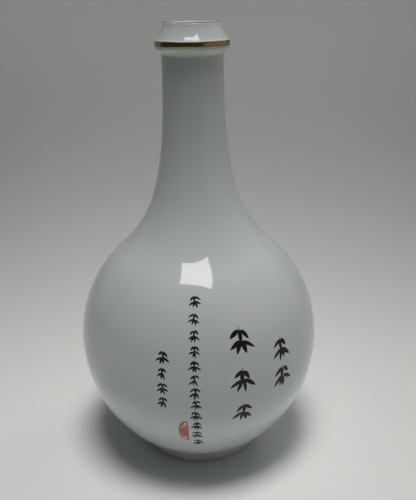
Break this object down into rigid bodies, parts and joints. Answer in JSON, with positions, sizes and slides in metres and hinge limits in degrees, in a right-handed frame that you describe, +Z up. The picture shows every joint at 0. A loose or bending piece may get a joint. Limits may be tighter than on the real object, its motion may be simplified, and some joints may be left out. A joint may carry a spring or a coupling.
{
  "type": "sake bottle",
  "caption": "Ball-shaped white porcelain spirit bottle with a slender neck, a flared gilded mouth collar, painted leaf sprays and a foot ring.",
  "frame": {"origin": "centre of the plane that the foot ring stands on", "axes": "+Z up along the axis of the neck, out of the mouth; the painted side faces -Y"},
  "size_m": [0.105, 0.105, 0.1863],
  "materials": {
    "biscuit": "matte",
    "glaze": "gloss",
    "gilding": "polished",
    "ink_enamel": "satin",
    "red_enamel": "satin"
  },
  "bodies": {
    "root": {"foot_ring": "biscuit", "lower_bowl": "biscuit", "upper_shell": "biscuit", "neck_tube": "biscuit", "mouth_collar": "biscuit", "outer_glaze": "glaze", "inner_glaze": "glaze", "base_glaze": "glaze", "gilt_lip_ring": "gilding", "gilt_collar_band": "gilding", "leaf_column_left": "ink_enamel", "leaf_column_middle": "ink_enamel", "leaf_column_right": "ink_enamel", "leaf_column_far_right": "ink_enamel", "red_seal": "red_enamel"}
  },
  "joints": []
}
